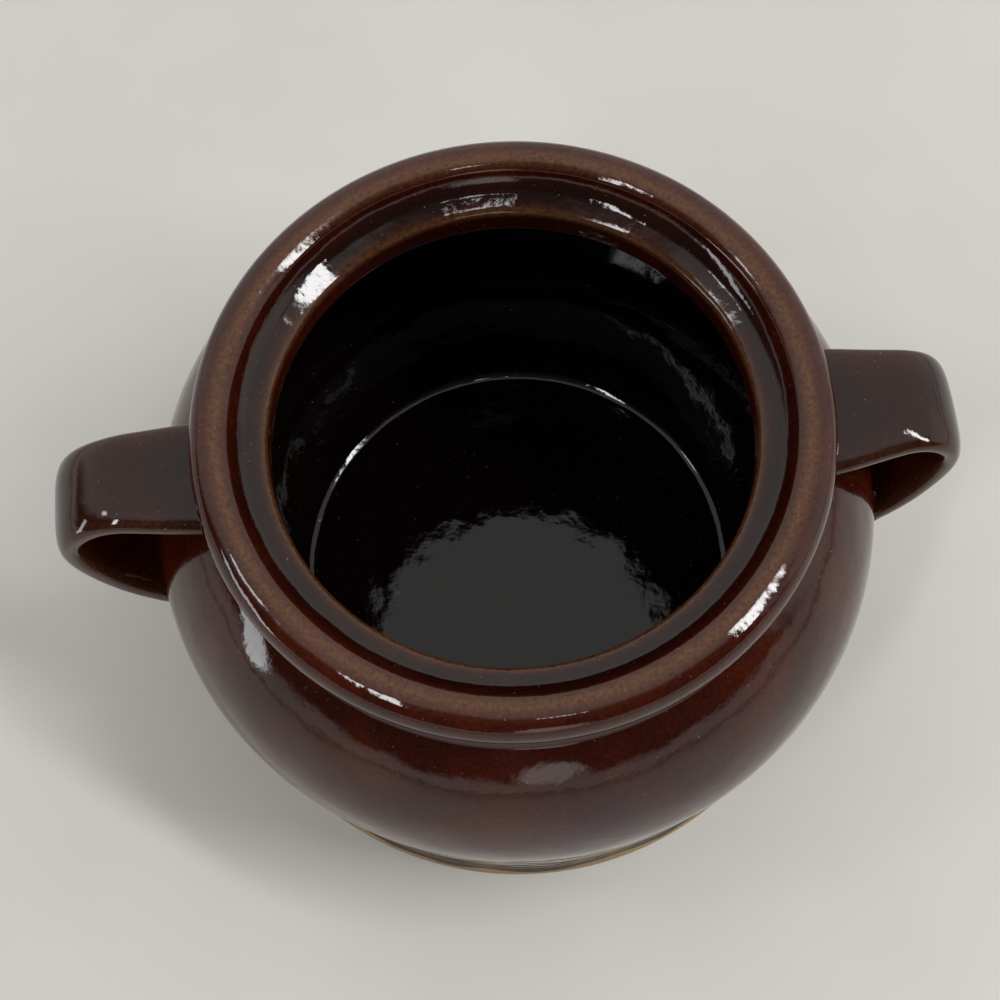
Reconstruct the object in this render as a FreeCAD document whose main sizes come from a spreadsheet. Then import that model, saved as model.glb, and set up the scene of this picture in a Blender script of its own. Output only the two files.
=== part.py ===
# Stoneware bean pot: a thrown vessel with a lid gallery, and two luted strap handles.
# Millimetres. Z is up, the origin is the centre of the foot, the handles lie along X.
import FreeCAD, Part
import os
import sys

import Sketcher

vector = FreeCAD.Vector

# Driving dimensions

SIZES = {
    "body_height": 120.0,
    "belly_radius": 92.0,
    "belly_rise": 63.0,
    "foot_set_in": 4.6,
    "foot_edge": 0.8,
    "foot_band": 4.5,
    "foot_flare": 1.1,
    "foot_ring_width": 9.0,
    "foot_ring_slope": 2.5,
    "foot_recess": 2.0,
    "shoulder_top_drop": 20.0,
    "neck_spread": 1.8,
    "neck_curve": 14.0,
    "rim_radius": 74.6,
    "rim_roll": 5.6,
    "rim_overhang": 3.7,
    "rim_inner_in": 4.0,
    "gallery_bevel": 3.4,
    "gallery_depth": 6.2,
    "ledge_width": 3.2,
    "ledge_fall": 1.6,
    "ledge_nose": 1.5,
    "ledge_nose_fall": 1.9,
    "throat_depth": 15.5,
    "wall": 7.0,
    "floor_thickness": 9.0,
    "floor_radius": 59.0,
    "floor_crease": 4.0,
    "floor_turn": 38.0,
    "strap_width": 25.0,
    "strap_thickness": 7.0,
    "strap_edge": 2.2,
    "strap_drop": 18.0,
    "strap_bend": 15.0,
    "strap_back_curve": 34.0,
    "strap_bury": 7.0,
    "strap_low_bury": 4.0,
    "right_stand_off": 17.4,
    "left_stand_off": 20.2,
}

# Sizes worked out from the driving ones. The lower wall is a cone that runs smoothly into the belly.
# Its way up is a unit vector, cone_out across and cone_up along the axis. Inside, a crease lifts the
# clay from the flat floor, and the heel, one long curve, carries it to the wall.

DERIVED = {
    "foot_radius": "belly_radius - foot_set_in",
    "ring_outer": "foot_radius - foot_edge",
    "ring_inner": "foot_radius - foot_ring_width",
    "recess_radius": "ring_inner - foot_ring_slope",
    "band_radius": "foot_radius - foot_flare",
    "roll_centre_radius": "rim_radius - rim_roll",
    "roll_centre_rise": "body_height - rim_roll",
    "neck_radius": "rim_radius - rim_overhang",
    "neck_rise": "roll_centre_rise - sqrt(rim_roll^2 - (neck_radius - roll_centre_radius)^2)",
    "shoulder_top_radius": "neck_radius + neck_spread",
    "shoulder_top_rise": "body_height - shoulder_top_drop",
    "shoulder_in": "belly_radius - shoulder_top_radius",
    "shoulder_up": "shoulder_top_rise - belly_rise",
    "shoulder_curve": "(shoulder_in^2 + shoulder_up^2) / (2 * shoulder_in)",
    "belly_centre": "belly_radius - shoulder_curve",
    "cone_run": "band_radius - belly_centre",
    "cone_drop": "belly_rise - foot_band",
    "cone_reach": "sqrt(cone_run^2 + cone_drop^2)",
    "cone_length": "sqrt(cone_reach^2 - shoulder_curve^2)",
    "cone_out": "(shoulder_curve * cone_drop - cone_length * cone_run) / cone_reach^2",
    "cone_up": "(cone_length * cone_drop + shoulder_curve * cone_run) / cone_reach^2",
    "cone_top_radius": "band_radius + cone_length * cone_out",
    "cone_top_rise": "foot_band + cone_length * cone_up",
    "rim_inner_radius": "roll_centre_radius - rim_inner_in",
    "rim_inner_rise": "roll_centre_rise + sqrt(rim_roll^2 - rim_inner_in^2)",
    "gallery_radius": "rim_inner_radius - gallery_bevel",
    "gallery_rise": "body_height - gallery_depth",
    "ledge_radius": "gallery_radius - ledge_width",
    "ledge_rise": "gallery_rise - ledge_fall",
    "mouth_radius": "ledge_radius - ledge_nose",
    "mouth_rise": "ledge_rise - ledge_nose_fall",
    "throat_rise": "body_height - throat_depth",
    "inner_shoulder_curve": "shoulder_curve - wall",
    "inner_share": "inner_shoulder_curve / shoulder_curve",
    "inner_top_radius": "belly_centre + inner_share * (shoulder_top_radius - belly_centre)",
    "inner_top_rise": "belly_rise + inner_share * shoulder_up",
    "inner_cone_radius": "cone_top_radius - wall * cone_up",
    "inner_cone_rise": "cone_top_rise + wall * cone_out",
    "floor_rise": "floor_thickness",
    "crease_centre_rise": "floor_thickness + floor_crease",
    "crease_in": "(inner_cone_radius - floor_radius) * cone_up",
    "crease_down": "(inner_cone_rise - crease_centre_rise) * cone_out",
    "heel_turn": "1 - sin(floor_turn * 1deg) * cone_up - cos(floor_turn * 1deg) * cone_out",
    "heel_run": "(crease_in - crease_down - floor_crease) / heel_turn",
    "heel_curve": "heel_run + floor_crease",
    "heel_centre_radius": "floor_radius - heel_run * sin(floor_turn * 1deg)",
    "heel_centre_rise": "crease_centre_rise + heel_run * cos(floor_turn * 1deg)",
    "crease_end_radius": "floor_radius + floor_crease * sin(floor_turn * 1deg)",
    "crease_end_rise": "crease_centre_rise - floor_crease * cos(floor_turn * 1deg)",
    "inner_low_radius": "heel_centre_radius + heel_curve * cone_up",
    "inner_low_rise": "heel_centre_rise - heel_curve * cone_out",
    "strap_rise": "body_height - strap_drop",
    "strap_start": "neck_radius - strap_bury",
    "strap_bend_rise": "strap_rise - strap_bend",
    "strap_end_radius": "belly_radius - strap_low_bury",
    "strap_half_width": "strap_width / 2",
    "strap_flat": "strap_half_width - strap_edge",
    "strap_top_rise": "strap_rise + strap_thickness / 2",
    "strap_low_rise": "strap_rise - strap_thickness / 2",
    "strap_side_top": "strap_top_rise - strap_edge",
    "strap_side_low": "strap_low_rise + strap_edge",
}

# The same for each strap, whose reach is its own, as on any hand-pulled pair

STRAP_DERIVED = {
    "reach": "belly_radius + SIDE_stand_off",
    "middle": "SIDE_reach - strap_thickness / 2",
    "inner": "SIDE_reach - strap_thickness",
    "outer_edge": "SIDE_reach - strap_edge",
    "inner_edge": "SIDE_inner + strap_edge",
    "bend_start": "SIDE_middle - strap_bend",
    "level": "SIDE_bend_start - strap_start",
    "back_axis": "SIDE_middle - strap_back_curve",
    "turn": "acos((strap_end_radius - SIDE_back_axis) / strap_back_curve)",
}

doc = FreeCAD.newDocument("BeanPot")
sheet = doc.addObject("Spreadsheet::Sheet", "Sizes")


# Fills the sheet: a name, a value and an alias on each row

def fill_sheet():
    rows = [(name, str(value)) for name, value in SIZES.items()]
    rows += [(name, "=" + formula) for name, formula in DERIVED.items()]
    for side in ("right", "left"):
        rows += [(f"{side}_{name}", "=" + formula.replace("SIDE", side))
                 for name, formula in STRAP_DERIVED.items()]
    for row, (name, content) in enumerate(rows, start=1):
        sheet.set(f"A{row}", name)
        sheet.set(f"B{row}", content)
        sheet.setAlias(f"B{row}", name)
    doc.recompute()


def size(name):
    return float(getattr(sheet, name))


def signed(name):
    return -size(name[1:]) if name.startswith("-") else size(name)


# One of the three planes of a body's own origin

def origin_plane(body, role):
    for feature in body.Origin.OriginFeatures:
        if feature.Role == role:
            return feature
    raise ValueError(role)


def new_sketch(body, name, role):
    sketch = body.newObject("Sketcher::SketchObject", name)
    sketch.AttachmentSupport = (origin_plane(body, role), "")
    sketch.MapMode = "FlatFace"
    return sketch


# The arc between two corners, kept anticlockwise. It bulges to the right of the way from first to last.

def arc_edge(first, last, radius):
    along = last - first
    half = along.Length / 2
    across = vector(along.y, -along.x, 0).normalize()
    reach = (radius ** 2 - half ** 2) ** 0.5
    middle = (first + last) / 2 + across * (radius - reach)
    return Part.Arc(first, middle, last)


# An outline of corners and edges. A corner is a pair of sheet names, "axis" for nought. An edge is
# "line", or the name of an arc's radius after "out " where it bulges outward or "in " where it is hollow.

def coordinate(name):
    return 0.0 if name == "axis" else signed(name)


def draw_outline(sketch, corners, edges):
    places = [vector(coordinate(across), coordinate(up), 0) for across, up in corners]
    for index, edge in enumerate(edges):
        start = places[index]
        end = places[(index + 1) % len(places)]
        if edge == "line":
            sketch.addGeometry(Part.LineSegment(start, end), False)
            continue
        way, radius = edge.split()
        first, last = (start, end) if way == "out" else (end, start)
        sketch.addGeometry(arc_edge(first, last, size(radius)), False)
    ends = [end_points(sketch, index, places[index]) for index in range(len(edges))]
    for index, (across, up) in enumerate(corners):
        before = index - 1 if index else len(edges) - 1
        sketch.addConstraint(
            Sketcher.Constraint("Coincident", before, ends[before][1], index, ends[index][0]))
        hold(sketch, index, ends[index][0], "X", across)
        hold(sketch, index, ends[index][0], "Y", up)
    for index, edge in enumerate(edges):
        if edge != "line":
            radius = edge.split()[1]
            bind(sketch, Sketcher.Constraint("Radius", index, size(radius)), radius)


# The numbers of an edge's first and last points: an arc may be stored the other way round

def end_points(sketch, index, start):
    geometry = sketch.Geometry[index]
    near_start = geometry.StartPoint.distanceToPoint(start) < geometry.EndPoint.distanceToPoint(start)
    return (1, 2) if near_start else (2, 1)


def bind(sketch, constraint, name):
    number = sketch.addConstraint(constraint)
    label = f"{name.strip('-')}_{number}"
    sketch.renameConstraint(number, label)
    sign = "-" if name.startswith("-") else ""
    sketch.setExpression(f"Constraints.{label}", f"{sign}{sheet.Name}.{name.strip('-')}")


def hold(sketch, edge, point, direction, name):
    if name == "axis":
        axis = -2 if direction == "X" else -1
        sketch.addConstraint(Sketcher.Constraint("PointOnObject", edge, point, axis))
        return
    bind(sketch, Sketcher.Constraint("Distance" + direction, -1, 1, edge, point, signed(name)), name)


def revolve(body, sketch, name):
    turned = body.newObject("PartDesign::Revolution", name)
    turned.Profile = sketch
    turned.ReferenceAxis = (sketch, ["V_Axis"])
    turned.Angle = 360.0
    return turned


# The vessel's outline, from the middle of the foot out, up and over the rim, and down inside

FOOT_TO_NECK = [
    ("recess_radius", "foot_recess"),
    ("ring_inner", "axis"),
    ("ring_outer", "axis"),
    ("foot_radius", "foot_edge"),
    ("band_radius", "foot_band"),
    ("cone_top_radius", "cone_top_rise"),
    ("shoulder_top_radius", "shoulder_top_rise"),
    ("neck_radius", "neck_rise"),
]
FOOT_TO_NECK_EDGES = [
    "line", "line", "line", "line", "line", "out shoulder_curve", "in neck_curve",
]
RIM_AND_GALLERY = [
    ("rim_radius", "roll_centre_rise"),
    ("roll_centre_radius", "body_height"),
    ("rim_inner_radius", "rim_inner_rise"),
    ("gallery_radius", "gallery_rise"),
    ("ledge_radius", "ledge_rise"),
    ("mouth_radius", "mouth_rise"),
    ("mouth_radius", "throat_rise"),
]
RIM_AND_GALLERY_EDGES = [
    "out rim_roll", "out rim_roll", "out rim_roll", "line", "line", "line", "line",
]
INSIDE = [
    ("inner_top_radius", "inner_top_rise"),
    ("inner_cone_radius", "inner_cone_rise"),
    ("inner_low_radius", "inner_low_rise"),
    ("crease_end_radius", "crease_end_rise"),
    ("floor_radius", "floor_rise"),
    ("axis", "floor_rise"),
    ("axis", "foot_recess"),
]
INSIDE_EDGES = [
    "line", "in inner_shoulder_curve", "line", "in heel_curve", "in floor_crease", "line", "line", "line",
]


def build_vessel():
    body = doc.addObject("PartDesign::Body", "Vessel")
    sketch = new_sketch(body, "VesselOutline", "XZ_Plane")
    corners = FOOT_TO_NECK + RIM_AND_GALLERY + INSIDE
    edges = FOOT_TO_NECK_EDGES + RIM_AND_GALLERY_EDGES + INSIDE_EDGES
    draw_outline(sketch, corners, edges)
    revolve(body, sketch, "VesselTurned")
    body.Label = "vessel"
    return body


# The vessel's outside as a solid block, which shapes the ends of the handles

def build_seat(name):
    body = doc.addObject("PartDesign::Body", name)
    sketch = new_sketch(body, name + "Outline", "XZ_Plane")
    corners = FOOT_TO_NECK + [("axis", "neck_rise"), ("axis", "foot_recess")]
    draw_outline(sketch, corners, FOOT_TO_NECK_EDGES + ["line", "line", "line"])
    revolve(body, sketch, name + "Turned")
    return body


# A strap handle: a flat strap with eased edges that leaves the neck level, turns down outside the
# shoulder and curves back to the belly. One section is drawn where the level part ends, the other
# where the bend ends.

LEVEL_SECTION = [
    ("-strap_flat", "strap_low_rise"),
    ("strap_flat", "strap_low_rise"),
    ("strap_half_width", "strap_side_low"),
    ("strap_half_width", "strap_side_top"),
    ("strap_flat", "strap_top_rise"),
    ("-strap_flat", "strap_top_rise"),
    ("-strap_half_width", "strap_side_top"),
    ("-strap_half_width", "strap_side_low"),
]


def back_section(side):
    return [
        (f"{side}_reach", "-strap_flat"),
        (f"{side}_reach", "strap_flat"),
        (f"{side}_outer_edge", "strap_half_width"),
        (f"{side}_inner_edge", "strap_half_width"),
        (f"{side}_inner", "strap_flat"),
        (f"{side}_inner", "-strap_flat"),
        (f"{side}_inner_edge", "-strap_half_width"),
        (f"{side}_outer_edge", "-strap_half_width"),
    ]


# A section with the line that it is turned about

def draw_section(body, name, role, lift, corners, axis_ends):
    sketch = new_sketch(body, name, role)
    sketch.setExpression("AttachmentOffset.Base.z", f"{sheet.Name}.{lift}")
    draw_outline(sketch, corners, ["line"] * len(corners))
    places = [vector(coordinate(across), coordinate(up), 0) for across, up in axis_ends]
    line = sketch.addGeometry(Part.LineSegment(*places), True)
    for point, (across, up) in enumerate(axis_ends, start=1):
        hold(sketch, line, point, "X", across)
        hold(sketch, line, point, "Y", up)
    return sketch


def turn_section(body, sketch, name, angle):
    turned = body.newObject("PartDesign::Revolution", name)
    turned.Profile = sketch
    turned.ReferenceAxis = (sketch, ["Axis0"])
    turned.setExpression("Angle", angle)
    return turned


def build_handle(side, spin):
    name = side.capitalize()
    strap = doc.addObject("PartDesign::Body", name + "Strap")
    level = draw_section(
        strap, name + "LevelSection", "YZ_Plane", f"{side}_bend_start", LEVEL_SECTION,
        [("axis", "strap_bend_rise"), ("strap_half_width", "strap_bend_rise")])
    back = draw_section(
        strap, name + "BackSection", "XY_Plane", "strap_bend_rise", back_section(side),
        [(f"{side}_back_axis", "axis"), (f"{side}_back_axis", "strap_half_width")])
    top = strap.newObject("PartDesign::Pad", name + "Level")
    top.Profile = level
    top.Reversed = True
    top.setExpression("Length", f"{sheet.Name}.{side}_level")
    turn_section(strap, level, name + "Bend", "90 deg")
    turn_section(strap, back, name + "Back", f"{sheet.Name}.{side}_turn")
    handle = doc.addObject("Part::Cut", name + "Handle")
    handle.Base = strap
    handle.Tool = build_seat(name + "Seat")
    handle.Placement = FreeCAD.Placement(vector(0, 0, 0), FreeCAD.Rotation(vector(0, 0, 1), spin))
    handle.Label = side + "_handle"
    return handle


fill_sheet()
pieces = [
    build_vessel(),
    build_handle("right", 0),
    build_handle("left", 180),
]
doc.recompute()

# Nothing is written unless every object is sound

faults = [item.Name for item in doc.Objects if "Invalid" in item.State or "Error" in item.State]
for piece in pieces:
    if piece.Shape.isNull() or not piece.Shape.isValid():
        faults.append(piece.Label)
if faults:
    sys.exit("not sound: " + ", ".join(faults))

os.makedirs("parts", exist_ok=True)
for piece in pieces:
    piece.Shape.exportStep(f"parts/{piece.Label}.step")
    solids = len(piece.Shape.Solids)
    print(f"{piece.Label}: {solids} solid, {piece.Shape.Volume / 1000:.1f} cm3, {piece.Shape.BoundBox}")
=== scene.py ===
# Looks of the stoneware bean pot: glaze, bare clay foot, soft light and the camera. Metres.
import math

import bpy
import numpy as np
from mathutils import Matrix, Vector


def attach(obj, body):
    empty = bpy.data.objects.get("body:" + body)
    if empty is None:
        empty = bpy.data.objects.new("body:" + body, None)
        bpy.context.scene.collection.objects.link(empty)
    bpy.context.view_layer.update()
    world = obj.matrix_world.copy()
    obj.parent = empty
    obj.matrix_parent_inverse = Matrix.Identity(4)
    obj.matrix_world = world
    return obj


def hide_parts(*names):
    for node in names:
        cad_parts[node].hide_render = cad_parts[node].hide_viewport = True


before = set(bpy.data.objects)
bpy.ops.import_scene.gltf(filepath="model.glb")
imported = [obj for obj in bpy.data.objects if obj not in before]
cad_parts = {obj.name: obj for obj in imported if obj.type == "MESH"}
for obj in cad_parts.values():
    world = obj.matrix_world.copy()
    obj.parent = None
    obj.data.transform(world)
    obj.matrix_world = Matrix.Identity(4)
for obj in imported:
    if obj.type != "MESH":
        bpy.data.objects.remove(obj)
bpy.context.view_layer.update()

MM = 0.001

# The vessel's outline in millimetres, as the solid has it, with its fine rounds

BODY_HEIGHT = 120.0
FOOT_RADIUS = 87.4
FOOT_EDGE = 0.8
FOOT_BAND = 4.5
FOOT_FLARE = 1.1
RING_WIDTH = 9.0
RING_SLOPE = 2.5
FOOT_RECESS = 2.0
BELLY_RADIUS = 92.0
BELLY_RISE = 63.0
SHOULDER_TOP_RADIUS = 72.7
SHOULDER_TOP_DROP = 20.0
NECK_RADIUS = 70.9
NECK_CURVE = 14.0
RIM_RADIUS = 74.6
RIM_ROLL = 5.6
RIM_INNER_RADIUS = 65.0
GALLERY_RADIUS = 61.6
GALLERY_DEPTH = 6.2
GALLERY_COVE = 9.0
LEDGE_WIDTH = 3.2
LEDGE_FALL = 1.6
LEDGE_ROUND = 2.4
MOUTH_RADIUS = 56.9
THROAT_DEPTH = 15.5
SOFFIT_CURVE = 30.0
WALL = 7.0
FLOOR_THICKNESS = 9.0
FLOOR_RADIUS = 59.0
FLOOR_CREASE = 4.0
FLOOR_TURN = 38.0
FLOOR_DOME = 1.5

# The camera, fitted to the rim, the foot and the belly in a frame of 1000 by 1000

FRAME_PIXELS = 1000.0
FOCAL_PIXELS = 1600.0
SENSOR_WIDTH = 36.0
CAMERA_DISTANCE = 0.36382
CAMERA_ELEVATION = 66.38
CAMERA_ROLL = -2.09
CAMERA_AZIMUTH = -4.3
RIM_CENTRE_PIXEL = (511.64, 413.2)


def arc_points(centre, radius, start, end, steps):
    """Points along a circle from one angle to another, in radians."""
    angles = np.linspace(start, end, steps + 1)
    return np.array(centre) + radius * np.stack([np.cos(angles), np.sin(angles)], 1)


def circle_curve(first, last, radius, steps):
    """Points along the arc that bulges to the right of the way from first to last."""
    first, last = np.array(first), np.array(last)
    along = last - first
    half = np.linalg.norm(along) / 2
    across = np.array([along[1], -along[0]]) / (2 * half)
    centre = (first + last) / 2 - across * math.sqrt(radius ** 2 - half ** 2)
    start = math.atan2(*(first - centre)[::-1])
    turn = 2 * math.asin(min(1.0, half / radius))
    return arc_points(centre, radius, start, start + turn, steps)


def straight(first, last, steps):
    share = np.linspace(0, 1, steps + 1)[:, None]
    return np.array(first) * (1 - share) + np.array(last) * share


def belly_circle():
    """Centre and radius of the circle that makes the belly and the shoulder."""
    inward = BELLY_RADIUS - SHOULDER_TOP_RADIUS
    upward = BODY_HEIGHT - SHOULDER_TOP_DROP - BELLY_RISE
    radius = (inward ** 2 + upward ** 2) / (2 * inward)
    return (BELLY_RADIUS - radius, BELLY_RISE), radius


def cone_line(band):
    """Unit way up the lower wall, and the point where it meets the belly's circle."""
    (centre_r, centre_z), radius = belly_circle()
    run, drop = band[0] - centre_r, centre_z - band[1]
    reach = math.hypot(run, drop)
    length = math.sqrt(reach ** 2 - radius ** 2)
    out = (radius * drop - length * run) / reach ** 2
    up = (length * drop + radius * run) / reach ** 2
    return (out, up), (band[0] + length * out, band[1] + length * up)


def inside_heel(way, top):
    """Corners and curve radius of the inside: wall end, crease end and floor edge."""
    out, up = way
    wall_r, wall_z = top[0] - WALL * up, top[1] + WALL * out
    turn = math.radians(FLOOR_TURN)
    crease_z = FLOOR_THICKNESS + FLOOR_CREASE
    share = 1 - math.sin(turn) * up - math.cos(turn) * out
    run = ((wall_r - FLOOR_RADIUS) * up - (wall_z - crease_z) * out - FLOOR_CREASE) / share
    curve = run + FLOOR_CREASE
    centre = (FLOOR_RADIUS - run * math.sin(turn), crease_z + run * math.cos(turn))
    low = (centre[0] + curve * up, centre[1] - curve * out)
    crease = (FLOOR_RADIUS + FLOOR_CREASE * math.sin(turn), crease_z - FLOOR_CREASE * math.cos(turn))
    return (wall_r, wall_z), low, crease, curve


def outline_chain():
    """Corners as (radius, height), with the radius of the curve that leads there: minus where hollow."""
    band = (FOOT_RADIUS - FOOT_FLARE, FOOT_BAND)
    way, cone_top = cone_line(band)
    (centre_r, centre_z), shoulder = belly_circle()
    top = (SHOULDER_TOP_RADIUS, BODY_HEIGHT - SHOULDER_TOP_DROP)
    roll_r, roll_z = RIM_RADIUS - RIM_ROLL, BODY_HEIGHT - RIM_ROLL
    neck = (NECK_RADIUS, roll_z - math.sqrt(RIM_ROLL ** 2 - (NECK_RADIUS - roll_r) ** 2))
    inner_rise = math.sqrt(RIM_ROLL ** 2 - (roll_r - RIM_INNER_RADIUS) ** 2)
    rim_inner = (RIM_INNER_RADIUS, roll_z + inner_rise)
    gallery = (GALLERY_RADIUS, BODY_HEIGHT - GALLERY_DEPTH)
    ledge = (GALLERY_RADIUS - LEDGE_WIDTH, gallery[1] - LEDGE_FALL)
    mouth = (MOUTH_RADIUS, ledge[1] - LEDGE_ROUND)
    throat = (MOUTH_RADIUS, BODY_HEIGHT - THROAT_DEPTH)
    share = (shoulder - WALL) / shoulder
    inner_top = (centre_r + share * (top[0] - centre_r), centre_z + share * (top[1] - centre_z))
    inner_cone, low, crease, heel = inside_heel(way, cone_top)
    return [
        ((0.0, FOOT_RECESS), 0),
        ((FOOT_RADIUS - RING_WIDTH - RING_SLOPE, FOOT_RECESS), 0),
        ((FOOT_RADIUS - RING_WIDTH, 0.0), 0),
        ((FOOT_RADIUS - FOOT_EDGE, 0.0), 0),
        ((FOOT_RADIUS, FOOT_EDGE), FOOT_EDGE),
        (band, 0),
        (cone_top, 0),
        (top, shoulder),
        (neck, -NECK_CURVE),
        ((RIM_RADIUS, roll_z), RIM_ROLL),
        ((roll_r, BODY_HEIGHT), RIM_ROLL),
        (rim_inner, RIM_ROLL),
        (gallery, -GALLERY_COVE),
        (ledge, 0),
        (mouth, LEDGE_ROUND),
        (throat, 0),
        (inner_top, SOFFIT_CURVE),
        (inner_cone, -(shoulder - WALL)),
        (low, 0),
        (crease, -heel),
        ((FLOOR_RADIUS, FLOOR_THICKNESS), -FLOOR_CREASE),
        ((0.0, FLOOR_THICKNESS), 0),
    ]


def vessel_outline(step=0.6):
    """The outline from the middle of the foot round to the middle of the floor."""
    chain = outline_chain()
    points = [np.array([chain[0][0]])]
    for (first, _), (last, radius) in zip(chain, chain[1:]):
        steps = max(4, math.ceil(math.dist(first, last) / step))
        if radius == 0:
            points.append(straight(first, last, steps)[1:])
        elif radius > 0:
            points.append(circle_curve(first, last, radius, steps)[1:])
        else:
            points.append(circle_curve(last, first, -radius, steps)[::-1][1:])
    outline = np.concatenate(points)
    reach = outline[:, 0] / FLOOR_RADIUS
    on_floor = (reach < 1) & (np.abs(outline[:, 1] - FLOOR_THICKNESS) < FLOOR_CREASE)
    outline[on_floor, 1] += FLOOR_DOME * (1 - reach[on_floor] ** 2) ** 2
    return outline


def new_piece(name, verts, faces, attributes):
    """A smooth mesh object that carries a value for each point under each attribute's name."""
    mesh = bpy.data.meshes.new(name)
    mesh.from_pydata(verts.tolist(), [], faces)
    mesh.shade_smooth()
    for label, values in attributes.items():
        layer = mesh.attributes.new(label, "FLOAT", "POINT")
        layer.data.foreach_set("value", np.asarray(values, dtype=np.float32))
    piece = bpy.data.objects.new(name, mesh)
    bpy.context.collection.objects.link(piece)
    return piece


def tube_faces(rings, sides, first=0):
    """Four-sided faces between rings of points, each ring closed on itself."""
    faces = []
    for ring in range(rings - 1):
        low, high = first + ring * sides, first + (ring + 1) * sides
        for side in range(sides):
            after = (side + 1) % sides
            faces.append((low + side, low + after, high + after, high + side))
    return faces


def lathe(name, outline, attributes, sides=360):
    """A surface of revolution from an outline whose two ends lie on the axis."""
    rings = outline[1:-1]
    angles = np.arange(sides) * 2 * math.pi / sides
    across = rings[:, 0][:, None]
    level = np.repeat(rings[:, 1][:, None], sides, 1)
    points = np.stack([across * np.cos(angles), across * np.sin(angles), level], -1).reshape(-1, 3)
    verts = np.concatenate([[[0, 0, outline[0, 1]]], points, [[0, 0, outline[-1, 1]]]]) * MM
    faces = tube_faces(len(rings), sides, first=1)
    last = 1 + (len(rings) - 1) * sides
    for side in range(sides):
        after = (side + 1) % sides
        faces.append((0, 1 + after, 1 + side))
        faces.append((len(verts) - 1, last + side, last + after))
    marks = {label: np.concatenate([values[:1], np.repeat(values[1:-1], sides), values[-1:]])
             for label, values in attributes.items()}
    return new_piece(name, verts, faces, marks)


# The strap handles. Each is swept along its own path: out level, down over the bend, back to the belly.

STRAPS = {
    "left_handle": {
        "side": -1, "reach": 112.2, "rise": 103.0, "lift": 0.10, "bend": 17.0, "back": 40.0,
        "thickness": 7.0, "root_width": 28.0, "mid_width": 23.5, "end_width": 28.5, "offset": 0.8,
    },
    "right_handle": {
        "side": 1, "reach": 108.8, "rise": 100.9, "lift": 0.07, "bend": 12.5, "back": 43.0,
        "thickness": 6.6, "root_width": 33.0, "mid_width": 26.0, "end_width": 30.0, "offset": 0.2,
    },
}
STRAP_START = 66.0
STRAP_LEVEL_FROM = 73.0
STRAP_END_RADIUS = 88.3
STRAP_ROOT_SPREAD = 1.0
STRAP_WIDTH_STEPS = (0, 0.1, 0.33, 0.5, 0.7, 1)
STRAP_WIDTH_ROUNDS = 30
STRAP_PATH_ROUNDS = 6
STRAP_SIDE_POWER = 0.6
STRAP_FACE_POWER = 0.72
STRAP_EDGE_BREAK = 0.35
# How dark the painted shade on the strap's outer face gets
STRAP_FACE_SHADE = 0.6
FLARE_HEIGHT = 1.9
FLARE_REACH = 1.3
OUTSIDE_LOW_RADIUS = 86.0
OUTSIDE_HIGH_RADIUS = 69.0


def strap_path(strap, step=0.8):
    """Points (out, up) along the middle of the strap."""
    middle = strap["reach"] - strap["thickness"] / 2
    bend_out = middle - strap["bend"]
    bend_up = strap["rise"] + strap["lift"] * (bend_out - STRAP_LEVEL_FROM)
    start = (STRAP_START, strap["rise"] + strap["lift"] * (STRAP_START - STRAP_LEVEL_FROM))
    level = straight(start, (bend_out, bend_up), math.ceil((bend_out - STRAP_START) / step))
    centre = (bend_out, bend_up - strap["bend"])
    bend_steps = math.ceil(strap["bend"] * 1.6 / step)
    bend = arc_points(centre, strap["bend"], math.pi / 2, 0, bend_steps)
    back_centre = (middle - strap["back"], centre[1])
    turn = math.acos((STRAP_END_RADIUS - back_centre[0]) / strap["back"])
    back = arc_points(back_centre, strap["back"], 0, -turn, math.ceil(strap["back"] * turn / step))
    path = np.concatenate([level, bend[1:], back[1:]])
    return smooth_path(path, STRAP_PATH_ROUNDS)


def smooth_path(path, rounds):
    """Eases the joins of a path, with its ends held."""
    for _ in range(rounds):
        path[1:-1] = (path[:-2] + 2 * path[1:-1] + path[2:]) / 4
    return path


def outer_outline():
    """The vessel's outside as (radius, height), from the foot to the rim's widest point."""
    outline = vessel_outline()
    keep = (outline[:, 0] > MOUTH_RADIUS + WALL) & (outline[:, 1] < BODY_HEIGHT - RIM_ROLL)
    outside = outline[keep]
    heights = (0, FOOT_BAND, BODY_HEIGHT)
    least = np.interp(outside[:, 1], heights, (OUTSIDE_LOW_RADIUS, OUTSIDE_LOW_RADIUS, OUTSIDE_HIGH_RADIUS))
    return outside[outside[:, 0] >= least]


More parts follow.
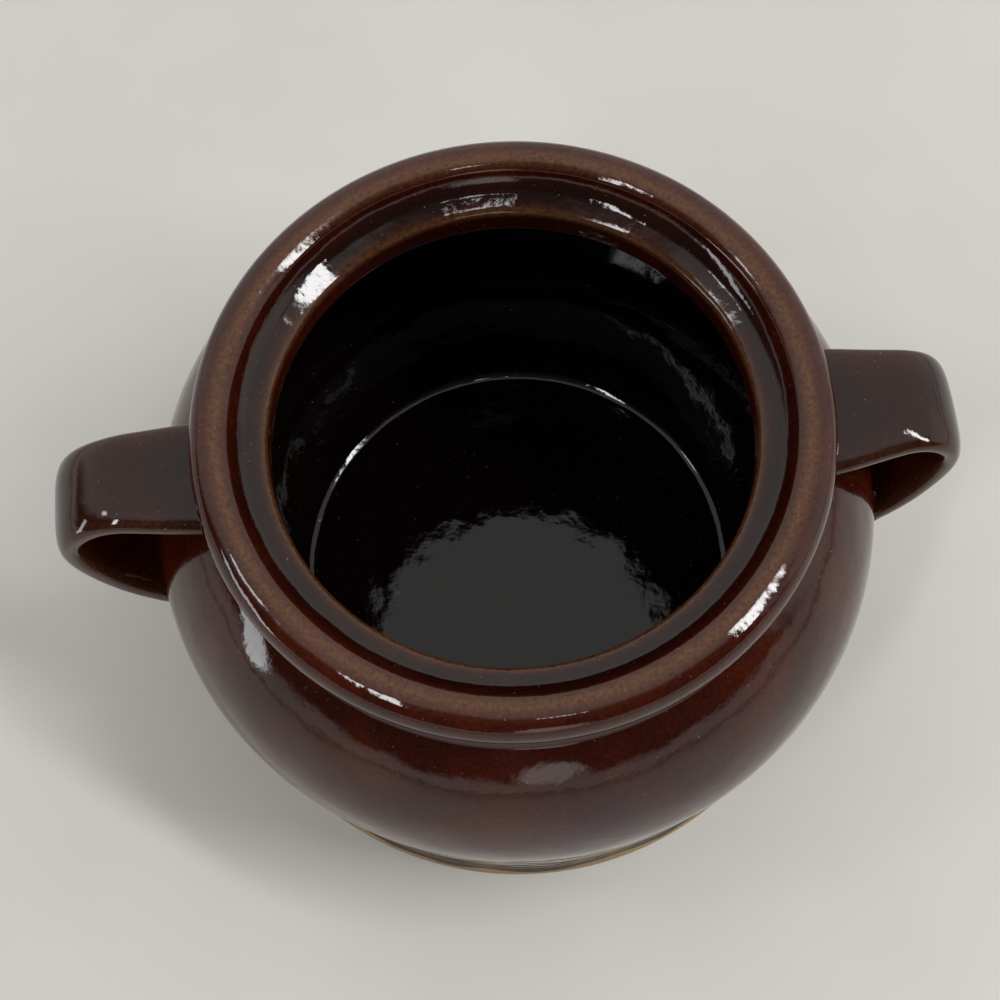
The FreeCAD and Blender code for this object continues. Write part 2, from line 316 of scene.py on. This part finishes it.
def build_strap(name, strap, sides=64):
    """One strap: a rounded section that is carried along its path, wider at both ends."""
    path = strap_path(strap)
    way = np.gradient(path, axis=0)
    way /= np.linalg.norm(way, axis=1)[:, None]
    outward = np.stack([-way[:, 1], way[:, 0]], 1)
    travel = np.concatenate([[0], np.cumsum(np.linalg.norm(np.diff(path, axis=0), axis=1))])
    travel /= travel[-1]
    root, mid, end = strap["root_width"], strap["mid_width"], strap["end_width"]
    widths = np.interp(travel, STRAP_WIDTH_STEPS, (root + STRAP_ROOT_SPREAD, root, mid, mid, mid, end))
    widths = smooth_path(widths, STRAP_WIDTH_ROUNDS)
    angles = np.arange(sides) * 2 * math.pi / sides
    half = strap["thickness"] / 2
    across = np.sign(np.cos(angles)) * np.abs(np.cos(angles)) ** STRAP_SIDE_POWER
    over = np.sign(np.sin(angles)) * np.abs(np.sin(angles)) ** STRAP_FACE_POWER
    points = []
    for (out, up), normal, width in zip(path, outward, widths):
        side_shift = across * width / 2 + strap["offset"]
        lift = over * half
        points.append(np.stack([out + normal[0] * lift, side_shift, up + normal[1] * lift], 1))
    points = np.array(points)
    points = flare(points, outward, across, over)
    edge = np.repeat(np.abs(across)[None, :], len(path), 0) ** 3
    # Painted shade on the outer face of the strap's loop: its top and its outer side
    outer = np.repeat(np.clip(over, 0, 1)[None, :], len(path), 0)
    points[:, :, 0] *= strap["side"]
    points[:, :, 1] *= strap["side"]
    rows = points.reshape(-1, 3)
    faces = tube_faces(len(path), sides)
    last = (len(path) - 1) * sides
    faces.append(tuple(reversed(range(sides))))
    faces.append(tuple(range(last, last + sides)))
    marks = {"break": edge.ravel() * STRAP_EDGE_BREAK, "painted_shade": outer.ravel() * STRAP_FACE_SHADE}
    return new_piece(name, rows * MM, faces, marks)


def flare(points, outward, across, over):
    """Spreads the strap where it meets the vessel, as clay that was pressed on."""
    outside = outer_outline()
    order = np.argsort(outside[:, 1])
    radius = np.hypot(points[:, :, 0], points[:, :, 1])
    wall = np.interp(points[:, :, 2], outside[order, 1], outside[order, 0])
    gap = np.abs(radius - wall)
    push = FLARE_HEIGHT * np.exp(-gap / FLARE_REACH)
    for ring, normal in enumerate(outward):
        points[ring, :, 0] += push[ring] * over * normal[0]
        points[ring, :, 2] += push[ring] * over * normal[1]
        points[ring, :, 1] += push[ring] * across
    return points


# Where the glaze runs thin: on the rim's crest, on the nose of the ledge and on the rim's side

CREST_INWARD = 1.2
CREST_DROP = 0.2
NOSE_INSET = 0.7
SIDE_DROP = 2.5
CREST_WIDTH = 1.9
NOSE_WIDTH = 1.2
SIDE_WIDTH = 2.4
RIDGE_BREAK = 0.85
SIDE_BREAK = 0.35
# Painted shade in the gallery's groove: how wide it spreads and how dark it gets
GROOVE_WIDTH = 4.0
GROOVE_SHADE = 0.8


def ridge_marks(outline):
    """How far the glaze runs thin at each point of the outline."""
    crest = (RIM_RADIUS - RIM_ROLL - CREST_INWARD, BODY_HEIGHT - CREST_DROP)
    nose_height = BODY_HEIGHT - GALLERY_DEPTH - LEDGE_FALL - NOSE_INSET
    nose = (MOUTH_RADIUS + NOSE_INSET, nose_height)
    side = (RIM_RADIUS, BODY_HEIGHT - RIM_ROLL - SIDE_DROP)
    ridges = (
        (crest, CREST_WIDTH, RIDGE_BREAK),
        (nose, NOSE_WIDTH, RIDGE_BREAK),
        (side, SIDE_WIDTH, SIDE_BREAK),
    )
    marks = np.zeros(len(outline))
    for place, width, amount in ridges:
        away = np.hypot(outline[:, 0] - place[0], outline[:, 1] - place[1])
        marks = np.maximum(marks, amount * np.exp(-(away / width) ** 2))
    return marks


def painted_shade_marks(outline):
    """Painted shade: full on the inside of the pot, less in the groove of the gallery."""
    order = np.arange(len(outline))
    throat_height = BODY_HEIGHT - THROAT_DEPTH
    throat = np.argmin(np.hypot(outline[:, 0] - MOUTH_RADIUS, outline[:, 1] - throat_height))
    gallery = (GALLERY_RADIUS, BODY_HEIGHT - GALLERY_DEPTH)
    away = np.hypot(outline[:, 0] - gallery[0], outline[:, 1] - gallery[1])
    return np.maximum(order >= throat, GROOVE_SHADE * np.exp(-(away / GROOVE_WIDTH) ** 2))


# Materials

def new_material(name):
    """A material with its nodes, its links and its shader."""
    material = bpy.data.materials.new(name)
    material.use_nodes = True
    nodes = material.node_tree.nodes
    return material, nodes, material.node_tree.links, nodes["Principled BSDF"]


def noise(nodes, links, place, scale, detail, roughness=0.55):
    """Cloudy values around a half, with so many clouds to a metre."""
    node = nodes.new("ShaderNodeTexNoise")
    node.inputs["Scale"].default_value = scale
    node.inputs["Detail"].default_value = detail
    node.inputs["Roughness"].default_value = roughness
    links.new(place, node.inputs["Vector"])
    return node.outputs["Fac"]


def spread(nodes, links, value, low, high, out_low=0.0, out_high=1.0):
    """Eases a value from one range to another, and holds it past the ends."""
    node = nodes.new("ShaderNodeMapRange")
    node.interpolation_type = "SMOOTHSTEP"
    node.inputs["From Min"].default_value = low
    node.inputs["From Max"].default_value = high
    node.inputs["To Min"].default_value = out_low
    node.inputs["To Max"].default_value = out_high
    links.new(value, node.inputs["Value"])
    return node.outputs["Result"]


def blend(nodes, links, amount, first, second, kind="MIX"):
    """Mixes two colours, each a socket or plain numbers."""
    node = nodes.new("ShaderNodeMix")
    node.data_type = "RGBA"
    node.blend_type = kind
    for socket, value in ((node.inputs[0], amount), (node.inputs[6], first), (node.inputs[7], second)):
        if isinstance(value, bpy.types.NodeSocket):
            links.new(value, socket)
        else:
            socket.default_value = value
    return node.outputs[2]


def maths(nodes, links, kind, first, second):
    """One sum on two values, each a socket or a number."""
    node = nodes.new("ShaderNodeMath")
    node.operation = kind
    for socket, value in zip(node.inputs, (first, second)):
        if isinstance(value, bpy.types.NodeSocket):
            links.new(value, socket)
        else:
            socket.default_value = value
    return node.outputs[0]


def grey(nodes, links, value):
    """A colour with the same value in all three channels."""
    node = nodes.new("ShaderNodeCombineColor")
    for socket in node.inputs:
        links.new(value, socket)
    return node.outputs[0]


def mark(nodes, label):
    """The value that the mesh's points carry under this name."""
    node = nodes.new("ShaderNodeAttribute")
    node.attribute_name = label
    return node.outputs["Fac"]


GLAZE_DEEP = (0.030, 0.0040, 0.0016, 1)
GLAZE_RED = (0.052, 0.0075, 0.0022, 1)
GLAZE_AMBER = (0.105, 0.042, 0.016, 1)
# Colour of the painted violet sheen
VIOLET_SHEEN_PAINT = (0.030, 0.008, 0.016, 1)
# Near-black painted shade for the inside of the pot
INSIDE_PAINTED_SHADE = (0.0035, 0.0020, 0.0015, 1)
CLAY_PALE = (0.46, 0.33, 0.17, 1)
CLAY_DARK = (0.30, 0.20, 0.10, 1)
SPECK_PALE = (0.35, 0.28, 0.22, 1)
GLAZE_LINE = 0.0027
GLAZE_LINE_WOBBLE = 0.0010
GLAZE_LINE_EDGE = 0.00015
CLOUD_SCALE = 45
VIOLET_SHEEN_SCALE = 21
FINE_SCALE = 900
GRAIN_SCALE = 2600
SPECK_SCALE = 1500
WOBBLE_SCALE = 38
WAVE_SCALE = 55
PEEL_SCALE = 230
GLAZE_ROUGHNESS = 0.045
THIN_ROUGHNESS = 0.11
CLAY_ROUGHNESS = 0.85
GLAZE_IOR = 1.5
WAVE_HEIGHT = 0.0006
PEEL_HEIGHT = 0.00009
PORE_HEIGHT = 0.000012
GRAIN_HEIGHT = 0.00012


def stoneware_material():
    """Glossy glaze that breaks to amber on the ridges, over clay that is left bare at the foot, with
    painted violet sheen and painted shade.
    """
    material, nodes, links, shader = new_material("glazed_stoneware")
    place = nodes.new("ShaderNodeTexCoord").outputs["Object"]
    height = nodes.new("ShaderNodeSeparateXYZ")
    links.new(place, height.inputs[0])
    thin, painted_shade = mark(nodes, "break"), mark(nodes, "painted_shade")
    cloud = noise(nodes, links, place, CLOUD_SCALE, 3)
    fine = noise(nodes, links, place, FINE_SCALE, 4, 0.7)
    grain = noise(nodes, links, place, GRAIN_SCALE, 2, 0.6)

    colour = blend(nodes, links, spread(nodes, links, cloud, 0.35, 0.68), GLAZE_DEEP, GLAZE_RED)
    # Painted violet sheen in broad patches over the glaze
    violet_sheen = spread(nodes, links, noise(nodes, links, place, VIOLET_SHEEN_SCALE, 2), 0.55, 0.75, 0.0, 0.75)
    colour = blend(nodes, links, violet_sheen, colour, VIOLET_SHEEN_PAINT)
    worn = maths(nodes, links, "MULTIPLY", thin, spread(nodes, links, fine, 0.22, 0.58, 0.55, 1.0))
    colour = blend(nodes, links, worn, colour, GLAZE_AMBER)
    # Painted shade: darkens the inside of the pot, the gallery's groove and the straps' outer faces
    colour = blend(nodes, links, painted_shade, colour, INSIDE_PAINTED_SHADE)
    mottle = spread(nodes, links, fine, 0.3, 0.7, 0.72, 1.3)
    colour = blend(nodes, links, 1.0, colour, grey(nodes, links, mottle), "MULTIPLY")
    speck = spread(nodes, links, noise(nodes, links, place, SPECK_SCALE, 1), 0.755, 0.80, 0.0, 0.5)
    colour = blend(nodes, links, speck, colour, SPECK_PALE)

    clay = blend(nodes, links, spread(nodes, links, grain, 0.3, 0.7), CLAY_DARK, CLAY_PALE)
    drift = noise(nodes, links, place, WOBBLE_SCALE, 2)
    wobble = spread(nodes, links, drift, 0.3, 0.7, -GLAZE_LINE_WOBBLE, GLAZE_LINE_WOBBLE)
    level = maths(nodes, links, "ADD", height.outputs["Z"], wobble)
    glazed = spread(nodes, links, level, GLAZE_LINE - GLAZE_LINE_EDGE, GLAZE_LINE + GLAZE_LINE_EDGE)
    colour = blend(nodes, links, glazed, clay, colour)
    links.new(colour, shader.inputs["Base Color"])
    gloss = spread(nodes, links, thin, 0.0, 1.0, GLAZE_ROUGHNESS, THIN_ROUGHNESS)
    clay_roughness = spread(nodes, links, glazed, 0.0, 1.0, CLAY_ROUGHNESS, 0.0)
    links.new(maths(nodes, links, "MAXIMUM", gloss, clay_roughness), shader.inputs["Roughness"])
    shader.inputs["IOR"].default_value = GLAZE_IOR

    waves = maths(nodes, links, "MULTIPLY", noise(nodes, links, place, WAVE_SCALE, 1), WAVE_HEIGHT)
    peel = maths(nodes, links, "MULTIPLY", noise(nodes, links, place, PEEL_SCALE, 2, 0.5), PEEL_HEIGHT)
    pores = maths(nodes, links, "MULTIPLY", fine, PORE_HEIGHT)
    relief = maths(nodes, links, "ADD", maths(nodes, links, "ADD", waves, peel), pores)
    grain_height = spread(nodes, links, glazed, 0.0, 1.0, GRAIN_HEIGHT, 0.0)
    clay_grain = maths(nodes, links, "MULTIPLY", grain, grain_height)
    bump = nodes.new("ShaderNodeBump")
    bump.inputs["Strength"].default_value = 1.0
    bump.inputs["Distance"].default_value = 1.0
    links.new(maths(nodes, links, "ADD", relief, clay_grain), bump.inputs["Height"])
    links.new(bump.outputs["Normal"], shader.inputs["Normal"])
    return material


FLOOR_SHADE = (0.68, 0.665, 0.63, 1)
FLOOR_LIGHT = (0.72, 0.705, 0.67, 1)
FLOOR_SCALE = 9
FLOOR_ROUGHNESS = 0.9
FLOOR_HALF = 6.0


def floor_material():
    """Plain pale floor with a faint change of tone."""
    material, nodes, links, shader = new_material("pale_table")
    place = nodes.new("ShaderNodeTexCoord").outputs["Object"]
    tone = spread(nodes, links, noise(nodes, links, place, FLOOR_SCALE, 3), 0.3, 0.7, 0.0, 1.0)
    pale = blend(nodes, links, tone, FLOOR_SHADE, FLOOR_LIGHT)
    links.new(pale, shader.inputs["Base Color"])
    shader.inputs["Roughness"].default_value = FLOOR_ROUGHNESS
    return material


# Pieces

def build_pot():
    """The glazed vessel and its two handles. Each stands for its solid."""
    glaze = stoneware_material()
    outline = vessel_outline()
    marks = {"break": ridge_marks(outline), "painted_shade": painted_shade_marks(outline)}
    vessel = lathe("vessel_glazed", outline, marks)
    vessel.data.materials.append(glaze)
    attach(vessel, "root")
    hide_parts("vessel")
    for node, strap in STRAPS.items():
        handle = build_strap(node + "_glazed", strap)
        handle.data.materials.append(glaze)
        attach(handle, "root")
        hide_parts(node)


# The stage, the lights and the camera

def build_floor():
    half = FLOOR_HALF
    corners = [(-half, -half, 0), (half, -half, 0), (half, half, 0), (-half, half, 0)]
    mesh = bpy.data.meshes.new("floor")
    mesh.from_pydata(corners, [], [(0, 1, 2, 3)])
    mesh.materials.append(floor_material())
    floor = bpy.data.objects.new("floor", mesh)
    bpy.context.collection.objects.link(floor)


LAMP_DISTANCE = 1.6


def way_to(azimuth, elevation):
    """The unit way towards a direction given in degrees."""
    turn, rise = math.radians(azimuth), math.radians(elevation)
    return Vector((math.cos(turn) * math.cos(rise), math.sin(turn) * math.cos(rise), math.sin(rise)))


def strip_lamp(name, first, last, width, radiance, colour=(1, 1, 1)):
    """A flat lamp between two directions, given as (azimuth, elevation) in degrees as seen from the rim."""
    centre = Vector((0, 0, BODY_HEIGHT * MM))
    start = centre + LAMP_DISTANCE * way_to(*first)
    end = centre + LAMP_DISTANCE * way_to(*last)
    middle = (start + end) / 2
    along = (end - start).normalized()
    away = (middle - centre).normalized()
    across = away.cross(along).normalized()
    away = along.cross(across).normalized()
    lamp = bpy.data.lights.new(name, "AREA")
    lamp.shape = "RECTANGLE"
    lamp.size = (end - start).length
    lamp.size_y = 2 * LAMP_DISTANCE * math.tan(math.radians(width / 2))
    lamp.energy = radiance * math.pi * lamp.size * lamp.size_y
    lamp.color = colour
    holder = bpy.data.objects.new(name, lamp)
    holder.matrix_world = Matrix.Translation(middle) @ Matrix((along, across, away)).transposed().to_4x4()
    bpy.context.collection.objects.link(holder)


# Broad soft parts of the room: direction, half width and edge in degrees, and brightness

ROOM_DIM = 0.05
ROOM_PARTS = (
    ((85, 42), 58, 14, 0.66),
    ((-90, 74), 18, 14, 0.06),
    ((0, 22), 16, 12, 0.75),
    ((-88, 13), 5, 6, 1.5),
)
ROOM_TINT = (1.0, 0.985, 0.96, 1)

# The pale backdrop that stands round the floor: its top edge in degrees, and its brightness

BACKDROP_FROM = 5.0
BACKDROP_TO = 11.0
BACKDROP_LEVEL = 0.62


def build_room():
    """The world: soft parts of a dim room, and the backdrop. It looks the same to every ray."""
    world = bpy.data.worlds.new("soft_room")
    world.use_nodes = True
    nodes, links = world.node_tree.nodes, world.node_tree.links
    background = nodes["Background"]
    direction = nodes.new("ShaderNodeTexCoord").outputs["Generated"]
    total = None
    for way, half, edge, level in ROOM_PARTS:
        dot = nodes.new("ShaderNodeVectorMath")
        dot.operation = "DOT_PRODUCT"
        dot.inputs[1].default_value = way_to(*way)
        links.new(direction, dot.inputs[0])
        outer, inner = math.cos(math.radians(half + edge)), math.cos(math.radians(half))
        part = spread(nodes, links, dot.outputs["Value"], outer, inner, 0.0, level)
        total = part if total is None else maths(nodes, links, "MAXIMUM", total, part)
    rise = nodes.new("ShaderNodeSeparateXYZ")
    links.new(direction, rise.inputs[0])
    low, high = math.sin(math.radians(BACKDROP_FROM)), math.sin(math.radians(BACKDROP_TO))
    backdrop = spread(nodes, links, rise.outputs["Z"], low, high, BACKDROP_LEVEL, 0.0)
    light = maths(nodes, links, "ADD", maths(nodes, links, "MAXIMUM", total, backdrop), ROOM_DIM)
    tinted = blend(nodes, links, 1.0, grey(nodes, links, light), ROOM_TINT, "MULTIPLY")
    links.new(tinted, background.inputs["Color"])
    bpy.context.scene.world = world


def build_lights():
    strip_lamp("right_tube", (-27, 34), (2, 66), 5, 22)
    strip_lamp("right_high_tube", (2, 66), (16, 70), 4, 18)
    strip_lamp("near_tube", (-84, 67), (-76, 65), 3, 10)
    strip_lamp("near_left_tube", (-131, 43), (-145, 62), 4, 16)
    strip_lamp("left_window", (-160, 2), (-180, 24), 6, 6, (0.94, 0.97, 1.0))
    strip_lamp("left_spot", (175, 49), (177, 55), 6, 9)


def build_camera():
    """Looks down into the mouth, turned so that the rim's centre falls on its pixel."""
    data = bpy.data.cameras.new("camera")
    data.sensor_width = SENSOR_WIDTH
    data.lens = FOCAL_PIXELS / FRAME_PIXELS * SENSOR_WIDTH
    camera = bpy.data.objects.new("camera", data)
    bpy.context.collection.objects.link(camera)
    tilt, roll = math.radians(CAMERA_ELEVATION), math.radians(CAMERA_ROLL)
    forward = Vector((0, math.cos(tilt), -math.sin(tilt)))
    side = Vector((1, 0, 0))
    upward = side.cross(forward)
    right = math.cos(roll) * side + math.sin(roll) * upward
    up = -math.sin(roll) * side + math.cos(roll) * upward
    half = FRAME_PIXELS / 2
    aside, above = RIM_CENTRE_PIXEL[0] - half, half - RIM_CENTRE_PIXEL[1]
    aim = Vector((aside / FOCAL_PIXELS, above / FOCAL_PIXELS, 1)).normalized()
    turn = Vector((0, 0, 1)).rotation_difference(aim).to_matrix()
    rows = turn @ Matrix((right, up, forward))
    basis = Matrix((rows[0], rows[1], -rows[2])).transposed()
    place = Vector((0, 0, BODY_HEIGHT * MM)) - CAMERA_DISTANCE * forward
    spin = Matrix.Rotation(math.radians(CAMERA_AZIMUTH), 4, "Z")
    camera.matrix_world = spin @ (Matrix.Translation(place) @ basis.to_4x4())
    bpy.context.scene.camera = camera


build_pot()
build_floor()
build_room()
build_lights()
build_camera()
bpy.context.scene.view_settings.view_transform = "Standard"
